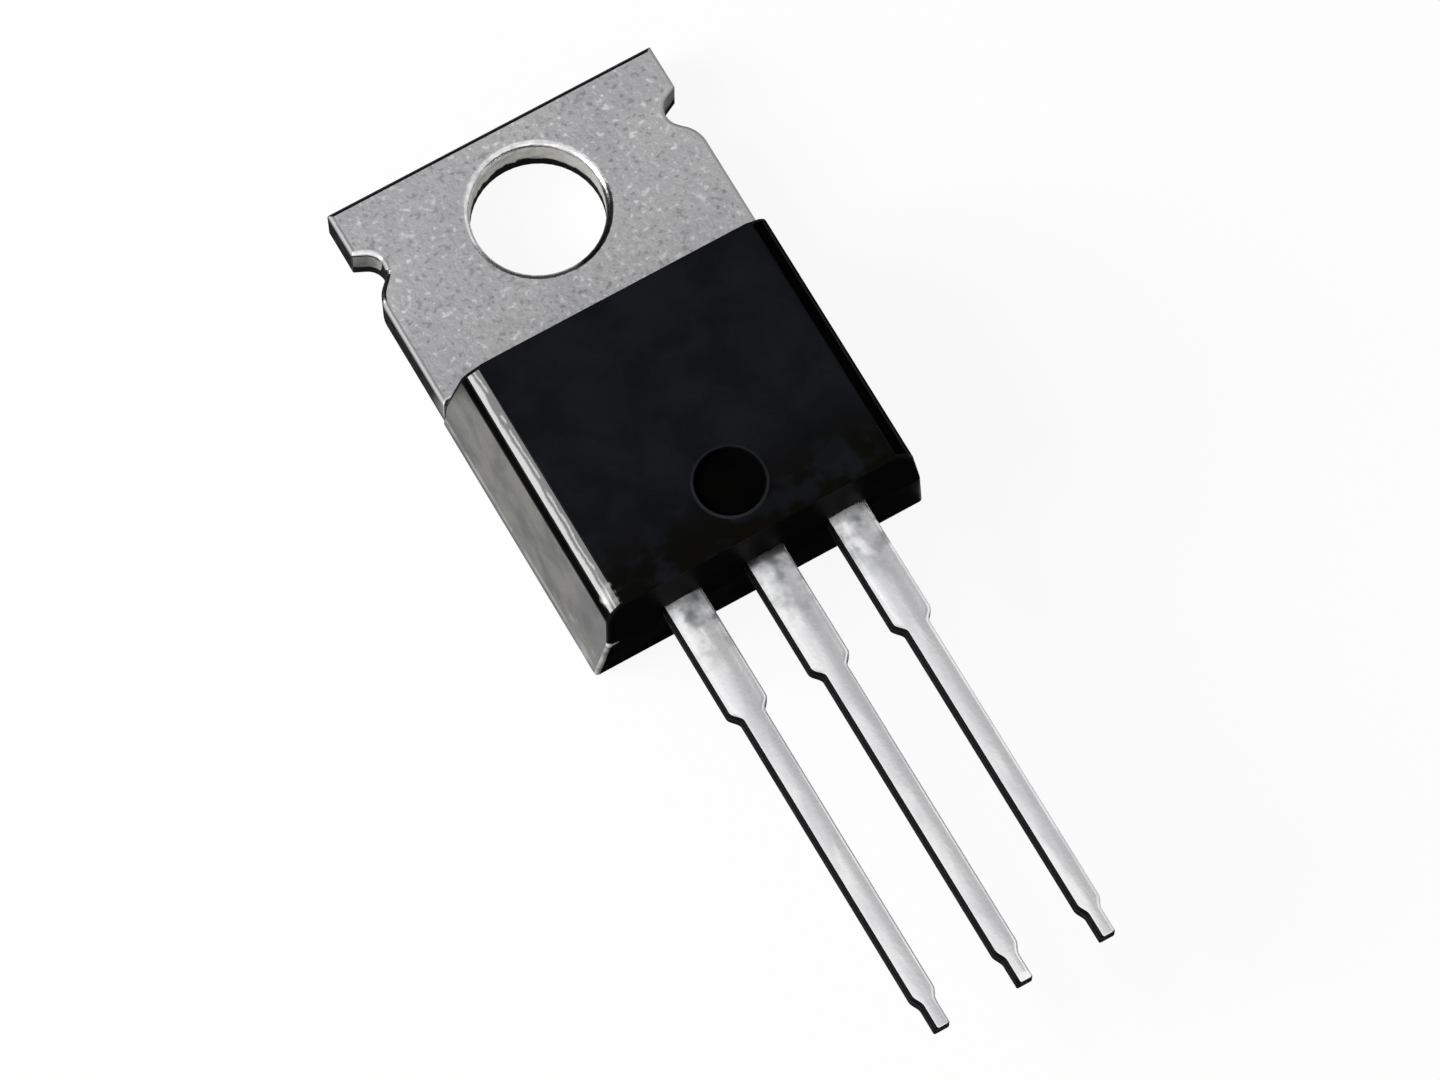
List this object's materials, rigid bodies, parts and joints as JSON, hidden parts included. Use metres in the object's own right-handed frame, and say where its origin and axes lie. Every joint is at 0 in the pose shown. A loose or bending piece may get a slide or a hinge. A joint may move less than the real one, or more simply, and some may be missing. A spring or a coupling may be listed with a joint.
{
  "type": "power transistor",
  "caption": "Plastic power transistor lying flat: black moulded body on a plated metal tab with a screw hole and notched sides, and straight flat leads with wide shoulders.",
  "frame": {"origin": "centre of the screw hole on the mounting face", "axes": "+Z out of the marked face, away from the mounting face; +Y towards the tab's free end; leads towards -Y; +X to the right with the leads towards the viewer"},
  "size_m": [0.0104, 0.029, 0.0044],
  "materials": {
    "moulding_compound": "satin",
    "plated_copper": "matte tin plating",
    "silicon": "polished",
    "solder": "dull",
    "bonding_wire": "drawn"
  },
  "bodies": {
    "root": {"moulded_body": "moulding_compound", "heat_sink": "plated_copper", "base_lead": "plated_copper", "emitter_lead": "plated_copper", "die": "silicon", "die_solder": "solder", "base_wire": "bonding_wire", "emitter_wire": "bonding_wire"}
  },
  "joints": []
}
